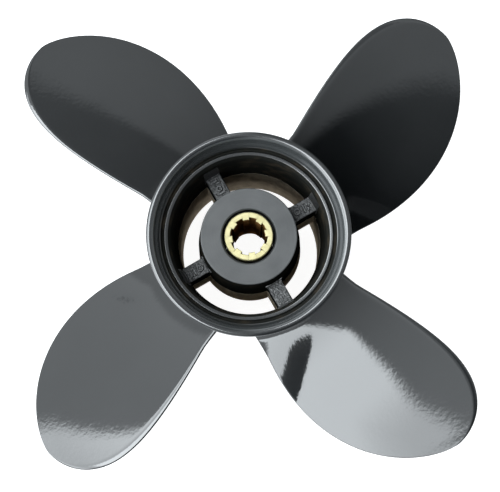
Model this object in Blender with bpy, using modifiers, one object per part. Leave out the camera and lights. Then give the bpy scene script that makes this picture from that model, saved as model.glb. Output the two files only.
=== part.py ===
import math
import bpy
import bmesh
from mathutils import Vector

# Driving dimensions, in metres
DIAMETER = 0.235
PITCH = 0.254
LENGTH = 0.095
BLADE_COUNT = 4
RIB_COUNT = 4
TOOTH_COUNT = 8
GAP = 0.0003
STEPS = 72
HUB_STEPS = 48

# Barrel
BARREL_R = 0.0327
FRONT_R = BARREL_R - 0.0005
BARREL_TOP = LENGTH - 0.0091
FRONT_BORE_R = 0.0287
PARTING_Z = LENGTH - 0.042
PARTING_R = 0.02885
LIP_R = 0.0319
GROOVE_DEPTH = 0.0006
GROOVE_HALF = 0.0006
BORE_TOP_R = 0.0309
BORE_TOP_Z = BARREL_TOP - 0.001
EDGE_BREAK = 0.0004

# Exhaust ring
RING_INNER_R = BARREL_R + GAP
RING_START_Z = LENGTH - 0.0195
RING_START_R = RING_INNER_R + 0.0012
RING_R = 0.0400
RING_WIDEST_Z = LENGTH - 0.003
CREST_ROUND = 0.0015
CREST_INNER_ROUND = 0.0018
CREST_SWING = math.radians(73)
CREST_SEGMENTS = 3
CONE_FOOT_R = 0.0342
CONE_FOOT_Z = LENGTH - 0.0085
COVE_Z = BARREL_TOP - 0.0008

# Inner hub, bush and sleeve
HUB_TOP = LENGTH - 0.0115
HUB_FRONT = 0.021
HUB_TOP_R = 0.0191
HUB_MID_R = 0.0206
HUB_FRONT_R = 0.0213
HUB_CAVITY_R = 0.0170
HUB_WALL_Z = HUB_TOP - 0.0065
HUB_HOLE_R = 0.0106
SLEEVE_R = 0.0095
SLEEVE_TOP = HUB_TOP + 0.0008
SLEEVE_FRONT = 0.015
SEAT_R = 0.00765
SEAT_END_Z = 0.027
TOOTH_TIP_R = 0.0065
SEAT_CORE_R = TOOTH_TIP_R / 2
TOOTH_ROOT_R = 0.0074
TOOTH_HALF = 0.0012
TOOTH_PHASE = math.radians(10)

# Ribs
RIB_WIDTH = 0.0065
RIB_DRAFT = 0.0006
RIB_TOP = 0.068
RIB_FRONT = 0.030
RIB_PHASE = math.radians(-15)
RIB_STEP_HEIGHT = 0.0018
RIB_STEP_R = 0.0288

# Blades: edge angles in degrees are a polynomial of the root distance from the tip
TIP_R = DIAMETER / 2
ROOT_R = BARREL_R + GAP
BLADE_MID_Z = PARTING_Z
TIP_ANGLE = 2.0
LEADING = (-17.1, -59.9, 52.6, -16.6)
TRAILING = (31.4, 10.3, -54.3, 34.9)
ROOT_THICKNESS = 0.008
TIP_THICKNESS = 0.0024
EDGE_THICKNESS = 0.0020
FILLET = 0.007
FLARE = 0.0045
FLARE_REACH = 0.015
WASH_REACH = 0.014
WASH_SLOPE = 0.15
CUP_WIDTH = 0.0016
CUP_TIP_WIDTH = 0.0030
CUP_SLOPE = 0.26
SECTION_POINTS = 32
CAP_STRIPS = 6
FILLET_STATIONS = 6
OUTER_STATIONS = 13
LAST_STATION = 0.06


def clear_file():
    for thing in list(bpy.data.objects):
        bpy.data.objects.remove(thing, do_unlink=True)


def new_collection(name):
    group = bpy.data.collections.new(name)
    bpy.context.scene.collection.children.link(group)
    return group


def finish_part(part, colour, roughness, metallic):
    material = bpy.data.materials.new(part.name + "_finish")
    material.use_nodes = True
    shader = material.node_tree.nodes["Principled BSDF"]
    shader.inputs["Base Color"].default_value = (*colour, 1.0)
    shader.inputs["Roughness"].default_value = roughness
    shader.inputs["Metallic"].default_value = metallic
    part.data.materials.append(material)
    return part


def add_object(name, mesh, group):
    thing = bpy.data.objects.new(name, mesh)
    group.objects.link(thing)
    return thing


# A closed profile of (radius, height), down the outer side and up the inner one
def turned(name, profile, steps, group):
    mesh = bpy.data.meshes.new(name)
    count = len(profile)
    edges = [(i, (i + 1) % count) for i in range(count)]
    mesh.from_pydata([(r, 0.0, z) for r, z in profile], edges, [])
    thing = add_object(name, mesh, group)
    spin = thing.modifiers.new("turn", 'SCREW')
    spin.axis = 'Z'
    spin.angle = math.tau
    spin.steps = steps
    spin.render_steps = steps
    spin.use_merge_vertices = True
    spin.merge_threshold = 0.00001
    spin.use_smooth_shade = True
    return thing


def boolean(thing, other, operation):
    step = thing.modifiers.new(operation.lower(), 'BOOLEAN')
    step.operation = operation
    step.object = other
    step.solver = 'EXACT'


def barrel_bore(z):
    if z < PARTING_Z:
        return FRONT_BORE_R + (PARTING_R - FRONT_BORE_R) * z / PARTING_Z
    return PARTING_R + (BORE_TOP_R - PARTING_R) * (z - PARTING_Z) / (BORE_TOP_Z - PARTING_Z)


def hub_side(z):
    if z < PARTING_Z:
        share = (z - HUB_FRONT) / (PARTING_Z - HUB_FRONT)
        return HUB_FRONT_R + (HUB_MID_R - HUB_FRONT_R) * share
    share = (z - PARTING_Z) / (HUB_TOP - PARTING_Z)
    return HUB_MID_R + (HUB_TOP_R - HUB_MID_R) * share


def barrel_profile():
    return [
        (BARREL_R, BARREL_TOP),
        (BARREL_R, 0.012),
        (FRONT_R, EDGE_BREAK),
        (FRONT_R - EDGE_BREAK, 0.0),
        (FRONT_BORE_R + EDGE_BREAK, 0.0),
        (FRONT_BORE_R, EDGE_BREAK),
        (barrel_bore(PARTING_Z - GROOVE_HALF), PARTING_Z - GROOVE_HALF),
        (PARTING_R + GROOVE_DEPTH, PARTING_Z - GROOVE_HALF),
        (PARTING_R + GROOVE_DEPTH, PARTING_Z + GROOVE_HALF),
        (barrel_bore(PARTING_Z + GROOVE_HALF), PARTING_Z + GROOVE_HALF),
        (BORE_TOP_R, BORE_TOP_Z),
        (LIP_R, BARREL_TOP),
    ]


def ring_profile():
    crest_r = RING_R - CREST_ROUND
    points = []
    for i in range(CREST_SEGMENTS + 1):
        a = math.pi / 2 * i / CREST_SEGMENTS
        points.append((crest_r + CREST_ROUND * math.sin(a), LENGTH - CREST_ROUND * (1 - math.cos(a))))
    points.append((RING_R, RING_WIDEST_Z))
    sweep = 7
    for i in range(1, sweep + 1):
        share = i / sweep
        z = RING_WIDEST_Z + (RING_START_Z - RING_WIDEST_Z) * share
        points.append((RING_START_R + (RING_R - RING_START_R) * (1 - share) ** 1.8, z))
    points += [
        (RING_INNER_R, RING_START_Z),
        (RING_INNER_R, COVE_Z),
        (CONE_FOOT_R - 0.0004, COVE_Z),
        (CONE_FOOT_R, CONE_FOOT_Z),
    ]
    for i in range(CREST_SEGMENTS, 0, -1):
        a = CREST_SWING * i / CREST_SEGMENTS
        z = LENGTH - CREST_INNER_ROUND * (1 - math.cos(a))
        points.append((crest_r - CREST_INNER_ROUND * math.sin(a), z))
    return points


def hub_profile():
    return [
        (HUB_TOP_R - EDGE_BREAK, HUB_TOP),
        (HUB_TOP_R, HUB_TOP - EDGE_BREAK),
        (HUB_MID_R, PARTING_Z),
        (HUB_FRONT_R, HUB_FRONT),
        (HUB_CAVITY_R, HUB_FRONT),
        (HUB_CAVITY_R, HUB_WALL_Z),
        (HUB_HOLE_R, HUB_WALL_Z),
        (HUB_HOLE_R, HUB_TOP - 0.0007),
        (HUB_HOLE_R + 0.0007, HUB_TOP),
    ]


def bush_profile():
    outer = HUB_CAVITY_R - GAP
    inner = SLEEVE_R + GAP
    top = HUB_WALL_Z - GAP
    front = HUB_FRONT + 0.002
    return [(outer, top), (outer, front), (inner, front), (inner, top)]


# The annular passage between hub and barrel, less the gaps on both sides
def passage_profile():
    heights = (RIB_TOP + 0.007, PARTING_Z, RIB_FRONT - 0.005)
    outer = [(barrel_bore(z) - GAP, z) for z in heights]
    inner = [(hub_side(z) + GAP, z) for z in reversed(heights)]
    return outer + inner


def add_spline(curve, points):
    line = curve.splines.new('POLY')
    line.points.add(len(points) - 1)
    for knot, (x, y) in zip(line.points, points):
        knot.co = (x, y, 0.0, 1.0)
    line.use_cyclic_u = True


def seat_profile():
    start = SLEEVE_FRONT - 0.002
    return [(SEAT_R, SEAT_END_Z), (SEAT_R, start), (SEAT_CORE_R, start), (SEAT_CORE_R, SEAT_END_Z)]


def sleeve(group, cutters):
    curve = bpy.data.curves.new("sleeve_outline", 'CURVE')
    curve.dimensions = '2D'
    curve.fill_mode = 'BOTH'
    curve.extrude = (SLEEVE_TOP - SLEEVE_FRONT) / 2
    turns = [math.tau * i / HUB_STEPS for i in range(HUB_STEPS)]
    add_spline(curve, [(SLEEVE_R * math.cos(a), SLEEVE_R * math.sin(a)) for a in turns])
    tip = math.asin(TOOTH_HALF / TOOTH_TIP_R)
    root = math.asin(TOOTH_HALF / TOOTH_ROOT_R)
    spacing = math.tau / TOOTH_COUNT
    bore = []
    for i in range(TOOTH_COUNT):
        centre = TOOTH_PHASE + spacing * i
        bore.append((TOOTH_TIP_R, centre - tip))
        bore.append((TOOTH_TIP_R, centre + tip))
        for j in range(4):
            bore.append((TOOTH_ROOT_R, centre + root + (spacing - 2 * root) * j / 3))
    add_spline(curve, [(r * math.cos(a), r * math.sin(a)) for r, a in bore])
    outline = bpy.data.objects.new("sleeve_outline", curve)
    group.objects.link(outline)
    bpy.context.view_layer.update()
    mesh = bpy.data.meshes.new_from_object(outline)
    bpy.data.objects.remove(outline, do_unlink=True)
    shape = bmesh.new()
    shape.from_mesh(mesh)
    bmesh.ops.remove_doubles(shape, verts=shape.verts, dist=0.00001)
    bmesh.ops.translate(shape, verts=shape.verts, vec=(0, 0, (SLEEVE_TOP + SLEEVE_FRONT) / 2))
    bmesh.ops.recalc_face_normals(shape, faces=shape.faces)
    shape.to_mesh(mesh)
    shape.free()
    mesh.materials.clear()
    part = add_object("spline_sleeve", mesh, group)
    boolean(part, turned("seat", seat_profile(), HUB_STEPS, cutters), 'DIFFERENCE')
    return part


def box_mesh(name, inner, outer, front, top, width, front_width):
    shape = bmesh.new()
    bmesh.ops.create_cube(shape, size=1.0)
    for vert in shape.verts:
        x, y, z = vert.co
        vert.co.x = inner + (outer - inner) * (x + 0.5)
        vert.co.y = y * (width if z > 0 else front_width)
        vert.co.z = front + (top - front) * (z + 0.5)
    mesh = bpy.data.meshes.new(name)
    shape.to_mesh(mesh)
    shape.free()
    return mesh


def rib(index, group, cutters, passage):
    inner = HUB_TOP_R - 0.002
    outer = LIP_R + 0.002
    turn = RIB_PHASE + math.tau * index / RIB_COUNT
    name = "rib_%d" % (index + 1)
    web = box_mesh(name, inner, outer, RIB_FRONT, RIB_TOP, RIB_WIDTH, RIB_WIDTH + RIB_DRAFT)
    part = add_object(name, web, group)
    step_top = RIB_TOP + RIB_STEP_HEIGHT
    pad_width = RIB_WIDTH - 0.0006
    pad = box_mesh(name + "_step", RIB_STEP_R, outer, RIB_TOP - 0.004, step_top, pad_width, pad_width)
    step = add_object(name + "_step", pad, cutters)
    part.rotation_euler.z = turn
    step.rotation_euler.z = turn
    boolean(part, step, 'UNION')
    boolean(part, passage, 'INTERSECT')
    return part


def edge_angle(radius, factors):
    away = math.sqrt(max(0.0, (TIP_R - radius) / (TIP_R - 0.032)))
    return TIP_ANGLE + sum(f * away ** (i + 1) for i, f in enumerate(factors))


def edge_flare(radius):
    left = max(0.0, ROOT_R + FLARE_REACH - radius) / FLARE_REACH
    return FLARE * left ** 1.5


def fillet_height(radius):
    reach = ROOT_R + FILLET - radius
    if reach <= 0:
        return 0.0
    return FILLET - math.sqrt(max(0.0, FILLET ** 2 - reach ** 2))


def blade_stations():
    radii = []
    for i in range(FILLET_STATIONS):
        radii.append(ROOT_R + FILLET * (1 - math.cos(math.pi / 2 * i / FILLET_STATIONS)))
    start = math.sqrt((TIP_R - ROOT_R - FILLET) / (TIP_R - ROOT_R))
    for i in range(OUTER_STATIONS):
        away = start + (LAST_STATION - start) * i / (OUTER_STATIONS - 1)
        radii.append(TIP_R - (TIP_R - ROOT_R) * away ** 2)
    return radii


# How far forward the edges of a section bend: the leading edge washes back over a wide strip, and the
# trailing edge over a narrow one
def edge_bend(share, from_lead, from_trail):
    cup = CUP_WIDTH + (CUP_TIP_WIDTH - CUP_WIDTH) * share
    wash = WASH_SLOPE * WASH_REACH / 2 * math.sqrt(1 - share)
    return (wash * max(0.0, 1 - from_lead / WASH_REACH) ** 2
            + CUP_SLOPE * cup * max(0.0, 1 - from_trail / cup) ** 2)


# One blade section, wrapped on the cylinder of its radius: the aft face is a plain helicoid but for its
# edges, and the thickness stands forward of it
def blade_section(radius, turn):
    slope = math.atan(PITCH / (math.tau * radius))
    along = radius / math.cos(slope)
    lead = math.radians(edge_angle(radius, LEADING)) * along
    trail = math.radians(edge_angle(radius, TRAILING)) * along
    fillet = fillet_height(radius)
    middle = (lead + trail) / 2
    half = (trail - lead) / 2 + edge_flare(radius)
    share = (radius - ROOT_R) / (TIP_R - ROOT_R)
    thick = ROOT_THICKNESS + (TIP_THICKNESS - ROOT_THICKNESS) * share ** 0.8
    nose = EDGE_THICKNESS / 2 + fillet
    points = []
    for i in range(SECTION_POINTS):
        angle = math.tau * i / SECTION_POINTS
        u = math.cos(angle)
        side = math.copysign(1.0, math.sin(angle)) if i % (SECTION_POINTS // 2) else 0.0
        bulge = (thick - EDGE_THICKNESS) / 2 * (1 - u * u) ** 0.75
        inward = min(nose, (1 - abs(u)) * half)
        rim = math.sqrt(max(0.0, nose ** 2 - (nose - inward) ** 2))
        normal = side * (bulge + rim) - bulge
        s = middle + u * half
        around = (s * math.cos(slope) - normal * math.sin(slope)) / radius + turn
        bend = edge_bend(share, (1 + u) * half, (1 - u) * half)
        z = BLADE_MID_Z + s * math.sin(slope) + normal * math.cos(slope) - bend / math.cos(slope)
        points.append(Vector((radius * math.cos(around), radius * math.sin(around), z)))
    return points


# The end of a blade, in strips that lie on the cylinder of its radius
def close_section(shape, row, radius):
    count = len(row)
    chains = []
    for i in range(1, count // 2):
        near, far = row[i].co, row[-i].co
        start = math.atan2(near.y, near.x)
        swing = (math.atan2(far.y, far.x) - start + math.pi) % math.tau - math.pi
        chain = [row[i]]
        for j in range(1, CAP_STRIPS):
            share = j / CAP_STRIPS
            a = start + swing * share
            height = near.z + (far.z - near.z) * share
            chain.append(shape.verts.new((radius * math.cos(a), radius * math.sin(a), height)))
        chains.append(chain + [row[-i]])
    for first, second in zip(chains, chains[1:]):
        for j in range(CAP_STRIPS):
            shape.faces.new((first[j], first[j + 1], second[j + 1], second[j]))
    for corner, chain in ((row[0], chains[0]), (row[count // 2], chains[-1])):
        for j in range(CAP_STRIPS):
            shape.faces.new((corner, chain[j], chain[j + 1]))


def blade(index, group):
    turn = math.tau * index / BLADE_COUNT
    shape = bmesh.new()
    rows = []
    for radius in blade_stations():
        rows.append([shape.verts.new(point) for point in blade_section(radius, turn)])
    count = SECTION_POINTS
    for low, high in zip(rows, rows[1:]):
        for i in range(count):
            j = (i + 1) % count
            shape.faces.new((low[i], low[j], high[j], high[i]))
    close_section(shape, rows[0], ROOT_R)
    close_section(shape, rows[-1], rows[-1][0].co.xy.length)
    bmesh.ops.recalc_face_normals(shape, faces=shape.faces)
    mesh = bpy.data.meshes.new("blade_%d" % (index + 1))
    shape.to_mesh(mesh)
    shape.free()
    mesh.shade_smooth()
    mesh.set_sharp_from_angle(angle=math.radians(40))
    return add_object("blade_%d" % (index + 1), mesh, group)


def build():
    clear_file()
    parts = new_collection("outboard_propeller")
    cutters = new_collection("cutters")
    passage = turned("passage", passage_profile(), STEPS, cutters)
    enamel = (0.030, 0.033, 0.035)
    bare = (0.12, 0.10, 0.085)
    finish_part(turned("barrel", barrel_profile(), STEPS, parts), enamel, 0.3, 0.2)
    finish_part(turned("exhaust_ring", ring_profile(), STEPS, parts), enamel, 0.3, 0.2)
    finish_part(turned("inner_hub", hub_profile(), HUB_STEPS, parts), enamel, 0.35, 0.2)
    finish_part(turned("rubber_bush", bush_profile(), HUB_STEPS, parts), (0.012, 0.012, 0.012), 0.85, 0.0)
    finish_part(sleeve(parts, cutters), (0.85, 0.75, 0.35), 0.3, 0.9)
    for i in range(RIB_COUNT):
        finish_part(rib(i, parts, cutters, passage), bare, 0.5, 0.5)
    for i in range(BLADE_COUNT):
        finish_part(blade(i, parts), enamel, 0.25, 0.2)
    for cutter in cutters.objects:
        cutter.hide_render = True
        cutter.display_type = 'WIRE'


build()
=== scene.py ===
import math

import bpy
import bmesh
from mathutils import Matrix, Vector, noise


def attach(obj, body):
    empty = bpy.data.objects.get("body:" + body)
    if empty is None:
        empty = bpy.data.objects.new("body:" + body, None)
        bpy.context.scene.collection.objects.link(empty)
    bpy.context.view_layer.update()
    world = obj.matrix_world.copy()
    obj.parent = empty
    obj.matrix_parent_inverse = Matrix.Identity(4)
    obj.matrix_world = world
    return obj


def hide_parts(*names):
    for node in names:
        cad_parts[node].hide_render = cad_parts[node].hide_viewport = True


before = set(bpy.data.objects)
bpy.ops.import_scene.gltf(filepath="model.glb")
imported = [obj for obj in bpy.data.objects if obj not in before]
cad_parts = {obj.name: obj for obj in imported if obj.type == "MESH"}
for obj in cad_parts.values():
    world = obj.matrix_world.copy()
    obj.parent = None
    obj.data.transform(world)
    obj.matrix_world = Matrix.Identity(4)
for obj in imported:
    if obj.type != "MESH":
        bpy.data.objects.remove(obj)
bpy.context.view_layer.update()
mm = 0.001


class Wire:
    # one output socket of a shader tree, so that sums read as Python

    def __init__(self, finish, socket):
        self.finish = finish
        self.socket = socket

    def maths(self, operation, *values):
        return self.finish.node("ShaderNodeMath", {"operation": operation}, dict(enumerate(values)))

    def __add__(self, other):
        return self.maths("ADD", self, other)

    def __radd__(self, other):
        return self.maths("ADD", other, self)

    def __sub__(self, other):
        return self.maths("SUBTRACT", self, other)

    def __rsub__(self, other):
        return self.maths("SUBTRACT", other, self)

    def __mul__(self, other):
        return self.maths("MULTIPLY", self, other)

    def __rmul__(self, other):
        return self.maths("MULTIPLY", other, self)

    def __pow__(self, other):
        return self.maths("POWER", self, other)

    def __rpow__(self, other):
        return self.maths("POWER", other, self)

    def least(self, other):
        return self.maths("MINIMUM", self, other)

    def most(self, other):
        return self.maths("MAXIMUM", self, other)


class Tree:
    # a shader tree and the coordinates that its patterns are laid out on

    def __init__(self, tree, space):
        self.tree = tree
        self.place = self.node("ShaderNodeTexCoord", output=space)
        self.x = self.node("ShaderNodeSeparateXYZ", sockets={0: self.place}, output="X")
        self.y = Wire(self, self.x.socket.node.outputs["Y"])
        self.z = Wire(self, self.x.socket.node.outputs["Z"])

    def node(self, kind, settings=None, sockets=None, output=0):
        made = self.tree.nodes.new(kind)
        for key, value in (settings or {}).items():
            setattr(made, key, value)
        for key, value in (sockets or {}).items():
            self.fill(made.inputs[key], value)
        return Wire(self, made.outputs[output])

    def fill(self, socket, value):
        if isinstance(value, Wire):
            self.tree.links.new(value.socket, socket)
        elif isinstance(value, tuple) and len(value) == 3 and socket.type == "RGBA":
            socket.default_value = (*value, 1.0)
        else:
            socket.default_value = value

    def grain(self, size, detail=2.0, rough=0.5, squash=None):
        # noise whose features are about this many metres across
        place = self.place
        if squash:
            place = self.node("ShaderNodeVectorMath", {"operation": "MULTIPLY"}, {0: place, 1: squash})
        return self.node("ShaderNodeTexNoise", None,
                         {"Vector": place, "Scale": 1 / size, "Detail": detail, "Roughness": rough})

    def ramp(self, value, low, high):
        # 0 below low, 1 above high, smooth in between
        return self.node("ShaderNodeMapRange", {"interpolation_type": "SMOOTHSTEP"},
                         {"Value": value, "From Min": low, "From Max": high})

    def blend(self, share, first, second):
        # 6 and 7 are a Mix node's colour inputs, and 2 its colour output
        return self.node("ShaderNodeMix", {"data_type": "RGBA"}, {"Factor": share, 6: first, 7: second}, 2)

    def bump(self, height, distance=1.0):
        return self.node("ShaderNodeBump", None, {"Height": height, "Distance": distance}, "Normal")


class Finish(Tree):
    # a material with its shader

    def __init__(self, name):
        self.material = bpy.data.materials.new(name)
        self.material.use_nodes = True
        super().__init__(self.material.node_tree, "Object")
        self.shader = self.tree.nodes["Principled BSDF"]
        self.radius = (self.x * self.x + self.y * self.y) ** 0.5

    def set(self, **values):
        for key, value in values.items():
            self.fill(self.shader.inputs[key.replace("_", " ")], value)


# Shapes that turn round the shaft

def roundCorners(corners, flat=0.25):
    # corners are (radius, height, rounding) in millimetres, in a closed loop; a point a little way past
    # each rounding keeps the long faces flat in shading
    straight = math.radians(178)
    furthest = 0.49                                  # of the way to the next corner
    fine, coarse = 9, 4                              # steps in a rounding over and under a millimetre
    points = []
    count = len(corners)
    for i, (radius, height, rounding) in enumerate(corners):
        corner = Vector((radius, height))
        before = Vector(corners[i - 1][:2]) - corner
        after = Vector(corners[(i + 1) % count][:2]) - corner
        angle = before.angle(after)
        if rounding <= 0 or angle > straight:
            points.append(corner * mm)
            continue
        cut = min(rounding / math.tan(angle / 2), furthest * before.length, furthest * after.length)
        reach = cut * math.tan(angle / 2)
        inward = (before.normalized() + after.normalized()).normalized()
        middle = corner + inward * reach / math.sin(angle / 2)
        start = corner + before.normalized() * cut - middle
        end = corner + after.normalized() * cut - middle
        first = math.atan2(start.y, start.x)
        swing = (math.atan2(end.y, end.x) - first + math.pi) % math.tau - math.pi
        detail = fine if rounding > 1 else coarse
        if before.length * furthest > cut + flat:
            points.append((corner + before.normalized() * (cut + flat)) * mm)
        for j in range(detail + 1):
            a = first + swing * j / detail
            points.append((middle + reach * Vector((math.cos(a), math.sin(a)))) * mm)
        if after.length * furthest > cut + flat:
            points.append((corner + after.normalized() * (cut + flat)) * mm)
    return points


def meshFromRows(name, rows, closedRows=True, ladder=False, sharp=40):
    # rows of points joined into a skin; ends that stay open are filled, by rungs between like points of
    # the two sides where the end is curved
    shape = bmesh.new()
    grid = [[shape.verts.new(point) for point in row] for row in rows]
    rowCount, count = len(grid), len(grid[0])
    for i in range(rowCount if closedRows else rowCount - 1):
        for j in range(count):
            low, high = grid[i], grid[(i + 1) % rowCount]
            k = (j + 1) % count
            shape.faces.new((low[j], low[k], high[k], high[j]))
    for row in () if closedRows else (grid[0], grid[-1]):
        if not ladder:
            shape.faces.new(row)
            continue
        for j in range(count // 2):
            rung = (row[j], row[j + 1], row[count - j - 1], row[-j])
            shape.faces.new(list(dict.fromkeys(rung)))
    bmesh.ops.recalc_face_normals(shape, faces=shape.faces)
    mesh = bpy.data.meshes.new(name)
    shape.to_mesh(mesh)
    shape.free()
    mesh.shade_smooth()
    mesh.set_sharp_from_angle(angle=math.radians(sharp))
    piece = bpy.data.objects.new(name, mesh)
    bpy.context.scene.collection.objects.link(piece)
    return piece


def turnedPiece(name, profile, steps, sharp=40):
    rows = []
    for i in range(steps):
        a = math.tau * i / steps
        rows.append([(p.x * math.cos(a), p.x * math.sin(a), p.y) for p in profile])
    return meshFromRows(name, rows, sharp=sharp)


def paintFaces(piece, finish, *bands, facing=1.01):
    # another finish on the faces in any of the bands, which are (inner radius, outer radius, lower height,
    # upper height) in millimetres, unless they face further up than facing
    piece.data.materials.append(finish.material)
    index = len(piece.data.materials) - 1
    for face in piece.data.polygons:
        x, y, z = face.center / mm
        radius = math.hypot(x, y)
        for inner, outer, low, high in bands:
            if inner < radius < outer and low < z < high and face.normal.z < facing:
                face.material_index = index


def place(piece, finish, slotName, *nodes):
    piece.data.materials.append(finish.material)
    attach(piece, "root")
    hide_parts(*nodes)
    return piece


# Tube: barrel and flared ring in one skin, radii and heights in millimetres

tube = {
    "steps": 288,
    "ringSweep": 1.9,                                # power of the flare's curve
    "outer": [(40.0, 95.0, 1.5), (40.0, 92.6, 0.6)],
    "sweepFrom": (40.0, 91.8),
    "sweepTo": (33.2, 75.0),
    "skirt": [(32.7, 71.0, 4.0), (32.7, 12.0, 4.0), (32.2, 0.0, 0.45)],
    "bore": [(28.7, 0.0, 0.35), (28.78, 52.5, 0.1), (29.4, 52.6, 0.1), (29.4, 53.3, 0.1),
             (28.9, 53.5, 0.12), (30.9, 83.6, 0.6), (31.9, 85.92, 0.12), (33.1, 86.0, 0.2),
             (33.5, 85.0, 0.3), (34.3, 85.2, 0.4), (34.45, 86.8, 0.12), (35.0, 87.15, 0.15),
             (37.27, 95.0, 1.8)],
    "sweepSteps": 12,
    # bands with a finish of their own
    # the ring's sloping inner face gets a lighter copy of the ring's paint: painted light
    "paintedLightConeBand": (34.9, 37.7, 87.2, 96.0),
    # the cove takes the dark matt passage paint: painted shade in the recess
    "paintedShadeCoveBand": (33.1, 34.8, 84.0, 87.1),
    "passageBand": (0.0, 31.85, 52.5, 85.85),
    "frontBand": (0.0, 29.5, 0.3, 52.5),
}


def tubeProfile():
    corners = list(tube["outer"])
    (wide, top), (slim, foot) = tube["sweepFrom"], tube["sweepTo"]
    for i in range(1, tube["sweepSteps"]):
        share = i / tube["sweepSteps"]
        radius = slim + (wide - slim) * (1 - share) ** tube["ringSweep"]
        corners.append((radius, top + (foot - top) * share, 0))
    return roundCorners(corners + tube["skirt"] + tube["bore"])


# Blades: the edges' angles in degrees are polynomials of the square root of the distance from the tip

blade = {
    "count": 4,
    "tip": 117.5,
    "root": 32.7,
    "pitch": 254.0,
    "middle": 53.0,
    "tipAngle": 2.0,
    "leading": (-17.1, -59.9, 52.6, -16.6),
    "trailing": (31.4, 10.3, -54.3, 34.9),
    "rootThickness": 8.0,
    "tipThickness": 2.0,
    "edgeThickness": 0.7,
    "cupWidth": (1.8, 3.6),                          # the trailing edge bends forward: root and tip
    "cupDrop": 0.18,                                 # for each millimetre of that width
    "washReach": 14.0,                               # the leading edge bends forward over this much
    "washSlope": 0.09,
    "sunk": 0.25,                                    # depth of the root inside the barrel's wall
    "polynomialRoot": 32.0,                          # radius where that square root counts as 1
    "thinning": 0.8,                                 # power of the share of the way to the tip
    "fullness": 0.75,                                # power that rounds a section's forward side
    "fillet": 7.0,
    "flare": 4.5,                                    # what the root gains at each edge
    "flareReach": 15.0,
    "flareCurve": 1.5,
    "paint": 0.12,                                   # what the paint adds at each edge
    "around": 96,
    "filletStations": 14,
    "outerStations": 46,
    "lastStation": 0.03,
}


def edgeAngle(radius, factors):
    away = math.sqrt(max(0.0, (blade["tip"] - radius) / (blade["tip"] - blade["polynomialRoot"])))
    return blade["tipAngle"] + sum(f * away ** (i + 1) for i, f in enumerate(factors))


def edgeFlare(radius):
    left = max(0.0, blade["root"] + blade["flareReach"] - radius) / blade["flareReach"]
    return blade["flare"] * min(1.0, left) ** blade["flareCurve"]


def filletHeight(radius):
    size = blade["fillet"]
    reach = min(size, blade["root"] + size - radius)
    return size - math.sqrt(max(0.0, size * size - max(0.0, reach) ** 2))


def bladeStations():
    root, size, tip = blade["root"], blade["fillet"], blade["tip"]
    radii = [root - blade["sunk"]]
    for i in range(blade["filletStations"]):
        radii.append(root + size * (1 - math.cos(math.pi / 2 * i / blade["filletStations"])))
    start, end = math.sqrt((tip - root - size) / (tip - root)), blade["lastStation"]
    for i in range(blade["outerStations"]):
        share = i / (blade["outerStations"] - 1)
        radii.append(tip - (tip - root) * (start * (1 - share) + end * share) ** 2)
    return radii


def bladeSection(radius, turn):
    slope = math.atan(blade["pitch"] / (math.tau * radius))
    along = radius / math.cos(slope)
    lead = math.radians(edgeAngle(radius, blade["leading"])) * along
    trail = math.radians(edgeAngle(radius, blade["trailing"])) * along
    fillet = filletHeight(radius)
    middle = (lead + trail) / 2
    half = (trail - lead) / 2 + edgeFlare(radius) + blade["paint"]
    share = min(1.0, max(0.0, (radius - blade["root"]) / (blade["tip"] - blade["root"])))
    thinned = share ** blade["thinning"]
    thick = blade["rootThickness"] + (blade["tipThickness"] - blade["rootThickness"]) * thinned
    edge = blade["edgeThickness"] / 2
    nose = edge + fillet
    tipFade = math.sqrt(max(0.0, 1 - (1 - min(1.0, (blade["tip"] - radius) / edge)) ** 2))
    narrow, wide = blade["cupWidth"]
    cupWidth = narrow + (wide - narrow) * share
    washDrop = blade["washSlope"] * blade["washReach"] / 2 * math.sqrt(1 - share)
    points = []
    count = blade["around"]
    for i in range(count):
        angle = math.tau * i / count
        u = math.cos(angle)
        side = 0.0 if i % (count // 2) == 0 else math.copysign(1.0, math.sin(angle))
        inward = min(nose, (1 - abs(u)) * half)
        rim = math.sqrt(max(0.0, nose * nose - (nose - inward) ** 2)) * tipFade
        bulge = (thick / 2 - edge) * (1 - u * u) ** blade["fullness"] * tipFade
        normal = side * (bulge + rim) - bulge
        s = middle + u * half
        a = (s * math.cos(slope) - normal * math.sin(slope)) / radius + turn
        bend = washDrop * max(0.0, 1 - (1 + u) * half / blade["washReach"]) ** 2
        bend += cupWidth * blade["cupDrop"] * max(0.0, 1 - (1 - u) * half / cupWidth) ** 2
        z = blade["middle"] + s * math.sin(slope) + normal * math.cos(slope) - bend / math.cos(slope)
        points.append(Vector((radius * math.cos(a), radius * math.sin(a), z)) * mm)
    return points


def makeBlade(index):
    turn = math.tau * index / blade["count"]
    rows = [bladeSection(radius, turn) for radius in bladeStations()]
    return meshFromRows("blade_%d_enamel" % (index + 1), rows, closedRows=False, ladder=True, sharp=60)


# Inner hub, bush and sleeve

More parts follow.
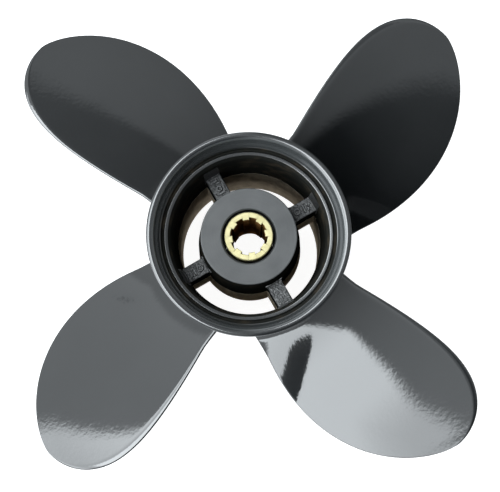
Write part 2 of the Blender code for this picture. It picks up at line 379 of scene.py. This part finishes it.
hub = {
    "steps": 224,
    "corners": [(19.1, 83.5, 0.35), (20.6, 53.0, 0), (21.3, 21.0, 0.6), (17.0, 21.0, 0.3),
                (17.0, 77.0, 0.5), (10.6, 77.0, 0.2), (10.6, 82.9, 0), (11.1, 83.5, 0.2)],
    "paintedBand": (0.0, 99.0, 52.5, 83.0),
    "bareBand": (0.0, 99.0, 0.0, 52.5),
}
bush = {
    "steps": 160,
    "corners": [(16.9, 76.8, 0.5), (16.9, 23.0, 0.5), (13.6, 22.0, 0.8), (9.9, 22.6, 0.4),
                (9.9, 76.8, 0.3)],
}
sleeve = {
    "outer": 9.5,
    "tipRadius": 6.5,
    "rootRadius": 7.4,
    "toothHalf": 1.2,
    "teeth": 8,
    "phase": 10.0,
    "top": 84.3,
    "front": 15.0,
    "seat": 7.65,
    "seatEnd": 27.0,
    "chamfer": 0.3,
    "innerChamfer": 0.18,
    "toothSteps": 6,
    "gapSteps": 10,
    "flankHalf": 0.004,                              # radians that a flank takes up outside, halved
    "greasyBands": ((0.0, 7.5, 28.0, 84.2), (0.0, 7.8, 15.2, 28.0)),
}


def makeSleeve():
    tipHalf = math.asin(sleeve["toothHalf"] / sleeve["tipRadius"])
    rootHalf = math.asin(sleeve["toothHalf"] / sleeve["rootRadius"])
    flank = (tipHalf + rootHalf) / 2
    spacing = math.tau / sleeve["teeth"]
    gap = spacing / 2
    flankHalf = sleeve["flankHalf"]
    columns = []                                     # inner radius, inner angle, outer angle
    for i in range(sleeve["teeth"]):
        middle = math.radians(sleeve["phase"]) + spacing * i
        for j in range(sleeve["toothSteps"] + 1):
            share = j / sleeve["toothSteps"] * 2 - 1
            columns.append((sleeve["tipRadius"], middle + tipHalf * share,
                            middle + (flank - flankHalf) * share))
        for j in range(sleeve["gapSteps"] + 1):
            share = j / sleeve["gapSteps"] * 2 - 1
            columns.append((sleeve["rootRadius"], middle + gap + (gap - rootHalf) * share,
                            middle + gap + (gap - flank - flankHalf) * share))
    outer, top, front = sleeve["outer"], sleeve["top"], sleeve["front"]
    seat, seatEnd = sleeve["seat"], sleeve["seatEnd"]
    cut, fine = sleeve["chamfer"], sleeve["innerChamfer"]
    rows = []
    for inner, innerAngle, outerAngle in columns:
        row = []
        for radius, height, angle in ((outer - cut, top, outerAngle), (outer, top - cut, outerAngle),
                                      (outer, front + cut, outerAngle), (outer - cut, front, outerAngle),
                                      (seat + cut, front, outerAngle), (seat, front + cut, outerAngle),
                                      (seat, seatEnd, outerAngle), (inner, seatEnd, innerAngle),
                                      (inner, top - fine, innerAngle), (inner + fine, top, innerAngle)):
            row.append(Vector((radius * math.cos(angle), radius * math.sin(angle), height)) * mm)
        rows.append(row)
    return meshFromRows("spline_sleeve_turned", rows, sharp=25)


# Ribs, with raised rings and bars on three of them

rib = {
    "count": 4,
    "phase": -15.0,
    "width": 6.5,
    "draft": 0.6,
    "top": 68.0,
    "front": 30.0,
    "hubSide": 20.6 - 1.5 * 15.0 / 30.5,             # radius of the hub at the rib's top
    "wall": 28.8 + 2.0 * 15.0 / 30.6,                # and of the bore
    "fillet": 1.5,
    "filletShare": 0.4,                              # what of it the rib grows by next to the hub
    "edge": 0.4,
    "stepStart": 28.6,
    "stepEnd": 29.0,
    "stepHeight": 0.3,
    "padStart": 29.3,                                # past here the rib runs up the wall of the bore
    "padSlope": 9.5,
    "parting": 53.0,
    "ledge": 0.1,                                    # step at the parting line
    "wing": 1.6,                                     # extra width at the parting line, next to the wall
    "wingReach": 1.6,
    "wingCurve": 1.5,
    "frontBulge": 0.5,
    "sideSteps": 7,
    "frontSteps": 5,
    "inner": 19.2,
    "outer": 30.5,
    "across": 44,
    "stations": 76,
    "markHeight": 0.9,
    "markBar": 0.3,                                  # half the width of a ring's bar
    "markEdge": 0.2,                                 # width of a mark's sloping sides
    "roughness": 0.12,
    "lumps": 1.3,                                    # to a millimetre
    "lumpShift": 7.0,                                # gives each rib lumps of its own
    "paintedBand": (0.0, 99.0, 0.0, 67.4),
    "paintedFacing": 0.05,                           # what faces further up keeps its finish
    "bareBand": (0.0, 99.0, 0.0, 52.9),
    "bareFacing": 0.35,
}
ribMarks = {                                         # along the rib, across it, half length, half width
    0: [(22.4, 0.1, 1.35, 1.35), (25.3, 0.0, 0.35, 1.7), (27.0, -0.9, 0.35, 0.7), (27.0, 1.1, 0.35, 0.6)],
    1: [(21.9, 0.0, 0.35, 1.7), (23.9, 0.0, 1.25, 1.25), (26.2, -0.8, 0.35, 0.9), (27.3, 0.4, 0.35, 1.3)],
    2: [(22.7, 0.0, 1.35, 1.35), (25.2, 0.0, 0.35, 1.7), (26.9, 0.5, 0.35, 1.1)],
}


def smooth(value):
    value = min(1.0, max(0.0, value))
    return value * value * (3 - 2 * value)


def markHeight(index, along, across):
    highest = 0.0
    bar = rib["markBar"]
    for middle, offset, halfLong, halfWide in ribMarks.get(index, ()):
        if halfLong == halfWide:                     # a ring
            distance = abs(math.hypot(along - middle, across - offset) - halfLong + bar) - bar
        else:
            distance = max(abs(along - middle) - halfLong, abs(across - offset) - halfWide)
        highest = max(highest, smooth(0.5 - distance / rib["markEdge"]))
    return highest * rib["markHeight"]


def flare(distance):
    size = rib["fillet"]
    reach = min(size, max(0.0, size - distance))
    return size - math.sqrt(size * size - reach * reach)


def makeRib(index):
    turn = math.radians(rib["phase"]) + math.tau * index / rib["count"]
    ledge = rib["ledge"]
    rows = []
    for i in range(rib["stations"]):
        along = rib["inner"] + (rib["outer"] - rib["inner"]) * i / (rib["stations"] - 1)
        spread = flare(max(0.0, along - rib["hubSide"])) * rib["filletShare"]
        half = rib["width"] / 2 + spread
        step = smooth((along - rib["stepStart"]) / (rib["stepEnd"] - rib["stepStart"])) * rib["stepHeight"]
        pad = max(0.0, along - rib["padStart"]) * rib["padSlope"]
        top = rib["top"] + step + pad + spread
        front = rib["front"] - spread
        wing = rib["wing"] * smooth(1 - (rib["wall"] - along) / rib["wingReach"])
        outline = []
        for j in range(rib["across"] + 1):
            across = (j / rib["across"] * 2 - 1) * half
            inward = min(rib["edge"], half - abs(across))
            drop = rib["edge"] - math.sqrt(max(0.0, rib["edge"] ** 2 - (rib["edge"] - inward) ** 2))
            lump = Vector((along * rib["lumps"], across * rib["lumps"], index * rib["lumpShift"]))
            rough = noise.noise(lump) * rib["roughness"]
            outline.append((across, top - drop + markHeight(index, along, across) + rough))
        sides = []
        for j in range(rib["sideSteps"]):
            share = (j + 1) / rib["sideSteps"]
            sides.append((half + wing * share ** rib["wingCurve"],
                          top - rib["edge"] + (rib["parting"] + ledge - top) * share))
        bottomHalf = half + rib["draft"] / 2
        for j in range(rib["frontSteps"]):
            share = j / rib["frontSteps"]
            sides.append((half + ledge + (bottomHalf - half) * share,
                          rib["parting"] - ledge + (front - rib["parting"]) * share))
        outline += sides
        for share, bulge in ((1.0, 0.0), (0.5, 0.8), (0.0, 1.0), (-0.5, 0.8), (-1.0, 0.0)):
            outline.append((bottomHalf * share, front - rib["frontBulge"] * bulge))
        outline += [(-across, height) for across, height in reversed(sides)]
        row = []
        for across, height in outline:
            row.append(Vector((along * math.cos(turn) - across * math.sin(turn),
                               along * math.sin(turn) + across * math.cos(turn), height)) * mm)
        rows.append(row)
    return meshFromRows("rib_%d_cast" % (index + 1), rows, closedRows=False, sharp=50)


# Finishes: grain sizes and bump depths are in metres

enamelLook = {
    "colours": ((0.0055, 0.0062, 0.0066), (0.0070, 0.0077, 0.0082)),
    "cloudSize": 0.03,
    "cloudEdge": (0.3, 0.7),
    "roughness": (0.05, 0.02),                       # the least, and what the grain adds
    "roughSize": 0.006,
    "index": 1.7,
    "peelSize": 0.0015,
    "peelDepth": 0.000018,
    "waveSize": 0.012,
    "waveDepth": 0.00003,
}


def enamelFinish():
    look = enamelLook
    finish = Finish("dark_grey_enamel")
    cloud = finish.ramp(finish.grain(look["cloudSize"], detail=3.0), *look["cloudEdge"])
    peel = finish.grain(look["peelSize"])
    wave = finish.grain(look["waveSize"], detail=1.0)
    least, more = look["roughness"]
    finish.set(Base_Color=finish.blend(cloud, *look["colours"]),
               Roughness=least + finish.grain(look["roughSize"]) * more,
               Metallic=0.0, IOR=look["index"],
               Normal=finish.bump(peel * look["peelDepth"] + wave * look["waveDepth"]))
    return finish


tubeLook = {
    "gloss": ((0.0075, 0.0083, 0.0088), (0.0095, 0.0104, 0.0110)),
    # lighter colours for the ring's sloping inner face, the same paint as gloss: painted light standing in
    # for what it reflects
    "paintedLightCone": ((0.031, 0.034, 0.035), (0.039, 0.042, 0.043)),
    "cloudSize": 0.02,
    "cloudEdge": (0.3, 0.7),
    "roughness": (0.12, 0.04),
    "roughSize": 0.004,
    "index": 1.7,
    "peelSize": 0.002,
    "peelDepth": 0.000004,
}


def tubeFinish(part):
    look = tubeLook
    finish = Finish("ring_%s_enamel" % part)
    cloud = finish.ramp(finish.grain(look["cloudSize"], detail=3.0), *look["cloudEdge"])
    least, more = look["roughness"]
    finish.set(Base_Color=finish.blend(cloud, *look[part]),
               Roughness=least + finish.grain(look["roughSize"]) * more,
               Metallic=0.0, IOR=look["index"],
               Normal=finish.bump(finish.grain(look["peelSize"]) * look["peelDepth"]))
    return finish


paintLook = {
    "colours": ((0.0090, 0.0094, 0.0084), (0.0230, 0.0190, 0.0138)),  # paint and stain
    "stainSize": 0.006,
    "stainEdge": (0.45, 0.75),
    "roughness": 0.6,
    "grainSize": 0.0015,
    "grainDepth": 0.00002,
}


def paintedInside():
    look = paintLook
    finish = Finish("passage_dark_paint_and_cove_shade")
    stain = finish.ramp(finish.grain(look["stainSize"], detail=3.0), *look["stainEdge"])
    finish.set(Base_Color=finish.blend(stain, *look["colours"]),
               Roughness=look["roughness"], Metallic=0.0, Specular_IOR_Level=0.0,
               Normal=finish.bump(finish.grain(look["grainSize"]) * look["grainDepth"]))
    return finish


bareLook = {
    "colours": ((0.165, 0.142, 0.110), (0.250, 0.215, 0.165)),
    "passageGain": 1.0,
    # the hub's and ribs' bare casting is a lighter copy of the passage's: painted light
    "hubPaintedLightGain": 2.4,
    "streakSize": 0.004,
    "streakSquash": (1.0, 1.0, 0.25),                # streaks run along the shaft
    "streakEdge": (0.3, 0.7),
    "roughness": 0.6,
    "grainSize": 0.0012,
    "grainDepth": 0.00006,
}


def bareInside(name, gain):
    look = bareLook
    finish = Finish(name)
    streak = finish.grain(look["streakSize"], detail=4.0, rough=0.6, squash=look["streakSquash"])
    dark, light = (tuple(gain * value for value in colour) for colour in look["colours"])
    finish.set(Base_Color=finish.blend(finish.ramp(streak, *look["streakEdge"]), dark, light),
               Roughness=look["roughness"], Metallic=0.0, Specular_IOR_Level=0.0,
               Normal=finish.bump(finish.grain(look["grainSize"], detail=3.0) * look["grainDepth"]))
    return finish


hubLook = {
    "colours": ((0.018, 0.0195, 0.020), (0.042, 0.0435, 0.044)),
    "cloudSize": 0.012,
    "cloudShare": 0.4,
    "turningShare": 0.6,
    "turning": 1600.0,                               # uneven turning marks to a metre
    "cloudEdge": (0.38, 0.62),
    "ridges": 14000.0,                               # even ones, in radians to a metre
    "ridgeDepth": 0.0000012,
    "grainSize": 0.0012,
    "grainDepth": 0.00001,
    "roughness": (0.36, 0.14),
    "specular": 0.38,
}


def hubFinish():
    look = hubLook
    finish = Finish("hub_satin_paint")
    ridges = finish.node("ShaderNodeMath", {"operation": "SINE"}, {0: finish.radius * look["ridges"]})
    turning = finish.node("ShaderNodeTexNoise", {"noise_dimensions": "1D"},
                          {"W": finish.radius * look["turning"], "Detail": 3.0})
    cloud = finish.grain(look["cloudSize"], detail=3.0) * look["cloudShare"]
    cloud = cloud + turning * look["turningShare"]
    height = ridges * look["ridgeDepth"] + finish.grain(look["grainSize"]) * look["grainDepth"]
    least, more = look["roughness"]
    finish.set(Base_Color=finish.blend(finish.ramp(cloud, *look["cloudEdge"]), *look["colours"]),
               Roughness=least + turning * more, Metallic=0.0, Specular_IOR_Level=look["specular"],
               Normal=finish.bump(height))
    return finish


ribLook = {
    "cast": ((0.010, 0.0105, 0.011), (0.085, 0.087, 0.088)),          # paint, and the lighter colour of rubbed specks and of the painted highlight on the marks' tops
    "castWear": 0.22,
    "rubbed": ((0.028, 0.029, 0.029), (0.260, 0.260, 0.256)),
    "rubbedWear": 0.7,
    "pits": 1400.0,                                  # to a metre
    "pitDepth": 0.00014,
    "grainSize": 0.0012,
    "grainDepth": 0.00028,
    "wearSize": 0.0009,
    "wearEdge": (0.52, 0.70),
    "markHighlightRise": (0.35, 0.75),                        # millimetres above the top where the marks' tops get a painted highlight
    "roughness": (0.30, 0.2),
    "roughSize": 0.002,
}


def ribFinish(kind):
    look = ribLook
    finish = Finish("rough_cast_rib_paint_and_mark_highlight")
    pits = finish.node("ShaderNodeTexVoronoi", {"feature": "F1"},
                       {"Vector": finish.place, "Scale": look["pits"]})
    grain = finish.grain(look["grainSize"], detail=4.0, rough=0.65)
    height = pits * look["pitDepth"] + grain * look["grainDepth"]
    wearAndHighlight = finish.ramp(finish.grain(look["wearSize"], detail=3.0, rough=0.6), *look["wearEdge"])
    # painted highlight: the marks' tops are made lighter by their height
    raised = finish.ramp(finish.z, *((rib["top"] + rise) * mm for rise in look["markHighlightRise"]))
    raised = raised * (1 - finish.ramp(finish.radius, rib["stepStart"] * mm, rib["stepEnd"] * mm))
    wearAndHighlight = (wearAndHighlight * look[kind + "Wear"] + raised).least(1.0)
    least, more = look["roughness"]
    finish.set(Base_Color=finish.blend(wearAndHighlight, *look[kind]),
               Roughness=least + finish.grain(look["roughSize"]) * more,
               Metallic=0.0, Normal=finish.bump(height))
    return finish


brassLook = {
    "colours": ((0.29, 0.258, 0.125), (0.36, 0.325, 0.175)),
    "cloudSize": 0.0035,
    "cloudEdge": (0.3, 0.7),
    "metallic": 0.35,
    "roughness": (0.34, 0.08),
    "roughSize": 0.002,
    "ridges": 22000.0,                               # in radians to a metre
    "ridgeDepth": 0.000001,
    "grainSize": 0.0008,
    "grainDepth": 0.00001,
}


def brassFinish():
    look = brassLook
    finish = Finish("machined_brass")
    ridges = finish.node("ShaderNodeMath", {"operation": "SINE"}, {0: finish.radius * look["ridges"]})
    cloud = finish.ramp(finish.grain(look["cloudSize"], detail=3.0), *look["cloudEdge"])
    height = ridges * look["ridgeDepth"] + finish.grain(look["grainSize"]) * look["grainDepth"]
    least, more = look["roughness"]
    finish.set(Base_Color=finish.blend(cloud, *look["colours"]), Metallic=look["metallic"],
               Roughness=least + finish.grain(look["roughSize"]) * more, Normal=finish.bump(height))
    return finish


greaseLook = {
    "colours": ((0.060, 0.028, 0.010), (0.220, 0.112, 0.042)),
    "streakSize": 0.002,
    "streakSquash": (1.0, 1.0, 0.3),
    "roughness": 0.6,
    "grainSize": 0.0008,
    "grainDepth": 0.00002,
}


def greasyBore():
    look = greaseLook
    finish = Finish("sleeve_bore_brown_grease")
    streak = finish.grain(look["streakSize"], detail=3.0, squash=look["streakSquash"])
    finish.set(Base_Color=finish.blend(streak, *look["colours"]), Metallic=0.0,
               Roughness=look["roughness"], Specular_IOR_Level=0.0,
               Normal=finish.bump(finish.grain(look["grainSize"]) * look["grainDepth"]))
    return finish


rubberLook = {
    "colours": ((0.006, 0.006, 0.006), (0.016, 0.015, 0.014)),
    "grainSize": 0.002,
    "grainDepth": 0.00006,
    "roughness": (0.7, 0.2),
}


def rubberFinish():
    look = rubberLook
    finish = Finish("moulded_rubber")
    grain = finish.grain(look["grainSize"], detail=4.0)
    least, more = look["roughness"]
    finish.set(Base_Color=finish.blend(grain, *look["colours"]), Roughness=least + grain * more,
               Metallic=0.0, Normal=finish.bump(grain, look["grainDepth"]))
    return finish


def makePieces():
    enamel, painted = enamelFinish(), paintedInside()
    bare = bareInside("passage_bare_casting", bareLook["passageGain"])
    # a lighter copy of the bare casting for the hub and ribs: painted light
    bareHubPaintedLight = bareInside("hub_bare_casting_with_painted_light", bareLook["hubPaintedLightGain"])
    shell = turnedPiece("barrel_and_ring", tubeProfile(), tube["steps"], sharp=30)
    place(shell, tubeFinish("gloss"), "casting", "barrel", "exhaust_ring")
    # painted light: a lighter copy of the ring's paint on its sloping inner face
    paintFaces(shell, tubeFinish("paintedLightCone"), tube["paintedLightConeBand"])
    # dark paint in the passage, and on the cove as painted shade
    paintFaces(shell, painted, tube["paintedShadeCoveBand"], tube["passageBand"])
    paintFaces(shell, bare, tube["frontBand"])
    for i in range(blade["count"]):
        place(makeBlade(i), enamel, "casting", "blade_%d" % (i + 1))
    print("tube and blades made")
    inner = turnedPiece("inner_hub_turned", roundCorners(hub["corners"]), hub["steps"], sharp=30)
    place(inner, hubFinish(), "casting", "inner_hub")
    paintFaces(inner, painted, hub["paintedBand"])
    paintFaces(inner, bareHubPaintedLight, hub["bareBand"])
    cast, rubbed = ribFinish("cast"), ribFinish("rubbed")
    for i in range(rib["count"]):
        web = place(makeRib(i), cast if i in ribMarks else rubbed, "casting", "rib_%d" % (i + 1))
        paintFaces(web, painted, rib["paintedBand"], facing=rib["paintedFacing"])
        paintFaces(web, bareHubPaintedLight, rib["bareBand"], facing=rib["bareFacing"])
    print("hub and ribs made")
    rubber = turnedPiece("rubber_bush_moulded", roundCorners(bush["corners"]), bush["steps"])
    place(rubber, rubberFinish(), "bush", "rubber_bush")
    brass = place(makeSleeve(), brassFinish(), "sleeve", "spline_sleeve")
    paintFaces(brass, greasyBore(), *sleeve["greasyBands"])
    print("bush and sleeve made")


# Camera, floor and light

camera = {
    "lens": 159.1,
    "sensor": 36.0,
    "clip": (0.05, 20.0),
    "aim": (0.0, 0.0, 0.053),                        # the middle of the blades
    "sight": (-0.00027, 0.00103, -0.900),            # that point as the camera sees it
    "tiltX": -5.17,
    "tiltY": -0.35,
    "turn": 45.0,                                    # blade_1 points up and to the right
}
studio = {
    "floor": 8.0,
    "floorHeight": -0.0005,
    "floorGlow": 0.93,
    "floorColour": 0.3,
    "floorRoughness": 0.9,
    "backdrop": 1.0,
    "tint": (0.91, 0.965, 1.0),
    "soft": 0.03,                                    # softness of the panels' edges
    "ground": (0.4, 1.1),                            # glow below the horizon, on the right and on the left
    "groundSoft": 5.0,                               # how many times softer the edge between them is
    # glow of each wall: level at the horizon and its gain towards the zenith
    "backLeft": (1.62, 0.0),
    "frontLeft": (0.5, 1.3),
    "backRight": (0.5, 0.75),
    "back": (0.25, 0.3),
    "right": (0.12, 0.85),
    "frontRight": (-0.24, 0.6),
    # edges between the walls on the right: lean to the right, lean upwards and how many times softer
    "rightEdge": (0.0, 0.1, 6.0),
    "frontEdge": (0.381, 0.206, 2.0),
    "backEdge": (-0.9, -0.60, 1.5),
    "leftSoft": 3.0,                                 # the edge between the right and the left
    "windowGlow": 7.9,
    "windowFoot": 1.5,                               # what the window loses at its foot
    "footRise": (0.1, 0.4),
    "windowHead": 2.4,                               # and at its head
    "headRise": (0.62, 0.78),
    "windowLamp": 6.0,                               # what the lamp above the head adds
    "lampRise": (0.81, 0.86),
    "lampShade": 0.5,                                # what the walls lose at the lamp's height
    # edges of the window on a ceiling one unit up, and the direction of its right side in degrees
    "windowTop": 0.77,
    "windowSlant": 0.13,
    "windowSink": 0.35,                              # how far below the horizon the window reaches
    "windowEnd": -0.42,
    "lampEnd": -0.12,
    "windowFront": (-0.343, 0.589),
    "windowSide": 228.8,
    "sill": (0.433, -0.663, -0.611),                 # the slanting edge at its foot, as a plane
}


def makeCamera():
    data = bpy.data.cameras.new("camera")
    data.lens = camera["lens"]
    data.sensor_width = camera["sensor"]
    data.clip_start, data.clip_end = camera["clip"]
    eye = bpy.data.objects.new("camera", data)
    bpy.context.scene.collection.objects.link(eye)
    tilt = Matrix.Rotation(math.radians(camera["tiltX"]), 4, "X")
    tilt = tilt @ Matrix.Rotation(math.radians(camera["tiltY"]), 4, "Y")
    spin = Matrix.Rotation(math.radians(camera["turn"]), 4, "Z")
    view = Matrix.Translation(camera["sight"]) @ tilt @ spin @ Matrix.Translation(-Vector(camera["aim"]))
    eye.matrix_world = view.inverted()
    bpy.context.scene.camera = eye


def makeFloor():
    shape = bmesh.new()
    bmesh.ops.create_grid(shape, x_segments=4, y_segments=4, size=studio["floor"] / 2)
    mesh = bpy.data.meshes.new("floor")
    shape.to_mesh(mesh)
    shape.free()
    floor = bpy.data.objects.new("floor", mesh)
    floor.location.z = studio["floorHeight"]
    bpy.context.scene.collection.objects.link(floor)
    finish = Finish("pale_floor")
    finish.set(Base_Color=(studio["floorColour"],) * 3, Roughness=studio["floorRoughness"],
               Emission_Color=(1.0, 1.0, 1.0), Emission_Strength=studio["floorGlow"])
    floor.visible_glossy = False
    floor.data.materials.append(finish.material)


def makeWorld():
    # a light tent: each direction has the glow of the wall or window that stands there
    world = bpy.data.worlds.new("studio")
    world.use_nodes = True
    sky = Tree(world.node_tree, "Generated")
    turn = math.radians(camera["turn"])
    # to the right and up as the photo's angle sees it, and towards the zenith
    right = sky.x * math.cos(turn) - sky.y * math.sin(turn)
    up = sky.x * math.sin(turn) + sky.y * math.cos(turn)
    high = sky.z
    soft = studio["soft"]

    def wall(name):
        level, gain = studio[name]
        return (high * gain + level).most(0.0)

    def past(value, width=1.0):
        return sky.ramp(value, -soft * width, soft * width)

    def mixed(share, first, second):
        return (1 - share) * first + share * second

    def edge(name):
        lean, rise, width = studio[name]
        return past(up + right * lean + high * rise, width)

    rightSide = mixed(edge("rightEdge"), wall("right"), wall("backRight"))
    rightSide = mixed(edge("frontEdge"), wall("frontRight"), rightSide)
    rightSide = mixed(edge("backEdge"), rightSide, wall("back"))
    leftSide = mixed(past(up), wall("frontLeft"), wall("backLeft"))
    glow = mixed(past(0.0 - right, studio["leftSoft"]), rightSide, leftSide)
    side = math.radians(studio["windowSide"])
    beside = past(right * math.sin(side) - up * math.cos(side))
    lamp = sky.ramp(high, *studio["lampRise"])
    end = mixed(lamp, studio["windowEnd"], studio["lampEnd"])
    window = past(high * studio["windowTop"] + right * studio["windowSlant"] - up)
    window = window * past(high * end - right)
    frontRise, frontSlant = studio["windowFront"]
    window = window * beside.most(past(up - high * frontRise - right * frontSlant))
    sillX, sillY, sillZ = studio["sill"]
    window = window * past(0.0 - (right * sillX + up * sillY + high * sillZ))
    bright = studio["windowGlow"] - sky.ramp(high, *studio["headRise"]) * studio["windowHead"]
    bright = bright - (1 - sky.ramp(high, *studio["footRise"])) * studio["windowFoot"]
    bright = bright + lamp * studio["windowLamp"]
    darkGround, paleGround = studio["ground"]
    below = mixed(past(0.0 - right, studio["groundSoft"]), darkGround, paleGround)
    glow = mixed(past(high), below, glow)
    window = window * past(high + studio["windowSink"])
    glow = mixed(window, glow * (1 - lamp * studio["lampShade"]), bright)
    seen = sky.node("ShaderNodeLightPath", output="Is Camera Ray")
    background = world.node_tree.nodes["Background"]
    sky.fill(background.inputs["Color"], sky.blend(seen, studio["tint"], (1.0, 1.0, 1.0)))
    sky.fill(background.inputs["Strength"], mixed(seen, glow, studio["backdrop"]))
    bpy.context.scene.world = world
    bpy.context.scene.view_settings.view_transform = "Standard"


makeCamera()
makePieces()
makeFloor()
makeWorld()
print("camera, floor and lights placed")
